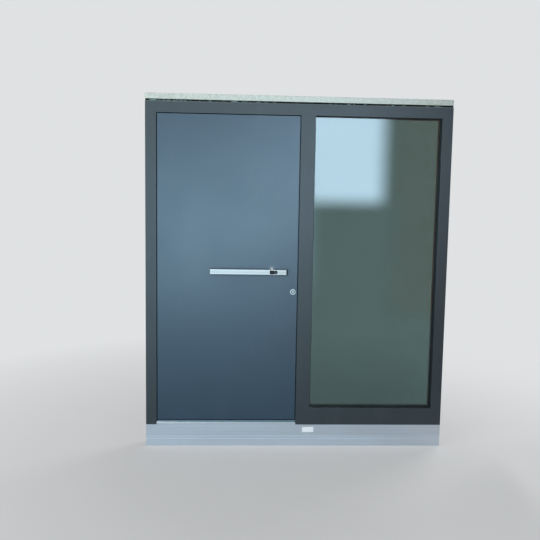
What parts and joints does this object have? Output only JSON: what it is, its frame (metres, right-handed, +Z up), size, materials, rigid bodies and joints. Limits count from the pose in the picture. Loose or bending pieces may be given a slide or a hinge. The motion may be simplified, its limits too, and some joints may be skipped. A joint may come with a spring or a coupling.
{
  "type": "entrance door set with fixed glass side panel",
  "caption": "Flush anthracite aluminium entrance door with horizontal bar handle and fixed glazed side panel in one frame.",
  "frame": {"origin": "middle of the base profile's bottom face", "axes": "+X to the right seen from outside, +Y from outside into the building, +Z up"},
  "size_m": [2.15, 0.2043, 2.502],
  "materials": {
    "powder_coat": "matte",
    "silver_aluminium": "satin",
    "galvanised_steel": "matte",
    "foam_tape": "matte",
    "thermal_break": "matte",
    "glass_tinted": "gloss",
    "glass_clear": "gloss",
    "rubber_black": "matte",
    "plastic_black": "satin",
    "core_foam": "matte",
    "brushed_steel": "satin",
    "bolt_steel": "satin",
    "cylinder_nickel": "satin",
    "reader_glass": "gloss",
    "light_lens": "gloss"
  },
  "bodies": {
    "frame": {"base_profile": "silver_aluminium", "bottom_rail_inner": "powder_coat", "bottom_rail_outer": "powder_coat", "frame_screws": "bolt_steel", "frame_seal": "rubber_black", "frame_thermal_breaks": "thermal_break", "glass_inner": "glass_clear", "glass_middle": "glass_clear", "glass_outer": "glass_tinted", "glass_spacers": "silver_aluminium", "glazing_beads": "powder_coat", "glazing_gaskets": "rubber_black", "head_inner": "powder_coat", "head_outer": "powder_coat", "head_sealing_tape": "foam_tape", "head_strip": "galvanised_steel", "hinge_frame_wings": "brushed_steel", "hinge_pins": "brushed_steel", "jamb_left_inner": "powder_coat", "jamb_left_outer": "powder_coat", "jamb_right_inner": "powder_coat", "jamb_right_outer": "powder_coat", "mullion_inner": "powder_coat", "mullion_outer": "powder_coat", "setting_blocks": "plastic_black", "strike_plates": "brushed_steel", "threshold_inner": "silver_aluminium", "threshold_outer": "silver_aluminium"},
    "leaf": {"leaf_outer_sheet": "powder_coat", "leaf_inner_sheet": "powder_coat", "leaf_core": "core_foam", "leaf_outer_profiles": "powder_coat", "leaf_inner_profiles": "powder_coat", "leaf_thermal_breaks": "thermal_break", "leaf_bottom_seal": "rubber_black", "handle_tube": "brushed_steel", "handle_end_left": "brushed_steel", "handle_end_ring": "brushed_steel", "handle_end_plug": "plastic_black", "handle_posts": "brushed_steel", "reader_window": "reader_glass", "reader_ring": "plastic_black", "reader_dish": "brushed_steel", "reader_light": "light_lens", "lock_faceplate": "brushed_steel", "lock_cases": "galvanised_steel", "cylinder_bodies": "cylinder_nickel", "cylinder_collars": "brushed_steel", "lever_rose": "brushed_steel", "hinge_leaf_wings": "brushed_steel", "leaf_screws": "bolt_steel"},
    "lever": {"lever_handle": "brushed_steel", "lever_spindle": "bolt_steel"},
    "key_turn_parts": {"cylinder_plug": "cylinder_nickel", "cylinder_cam": "cylinder_nickel", "thumbturn": "brushed_steel"},
    "bolts": {"deadbolt": "bolt_steel", "side_bolts": "bolt_steel"},
    "latch": {"latch_bolt": "bolt_steel"},
    "rods": {"drive_rods": "galvanised_steel"}
  },
  "joints": [
    {"name": "leaf_swing", "type": "hinge", "parent": "frame", "child": "leaf", "pos_m": [-1.016, 0.055, 1.28275], "axis": [0, 0, 1], "range_deg": [0, 100]},
    {"name": "lever_turn", "type": "hinge", "parent": "leaf", "child": "lever", "pos_m": [-0.031, 0.05, 1.227], "axis": [0, -1, 0], "range_deg": [0, 40], "stiffness_Nm_per_rad": 2, "springref_deg": -22.92},
    {"name": "key_turn", "type": "hinge", "parent": "leaf", "child": "key_turn_parts", "pos_m": [-0.031, 0, 1.135], "axis": [0, -1, 0], "range_deg": [0, 360]},
    {"name": "bolt_throw", "type": "slide", "parent": "leaf", "child": "bolts", "axis": [1, 0, 0], "range_m": [0, 0.02]},
    {"name": "latch_throw", "type": "slide", "parent": "leaf", "child": "latch", "axis": [1, 0, 0], "range_m": [0, 0.012]},
    {"name": "rod_slide", "type": "slide", "parent": "leaf", "child": "rods", "axis": [0, 0, 1], "range_m": [0, 0.018]}
  ],
  "couplings": [
    {"joint": "key_turn", "follows": "bolt_throw", "rad_per_m": 314.16},
    {"joint": "latch_throw", "follows": "bolt_throw", "ratio": 0.6},
    {"joint": "rod_slide", "follows": "bolt_throw", "ratio": 0.9}
  ]
}
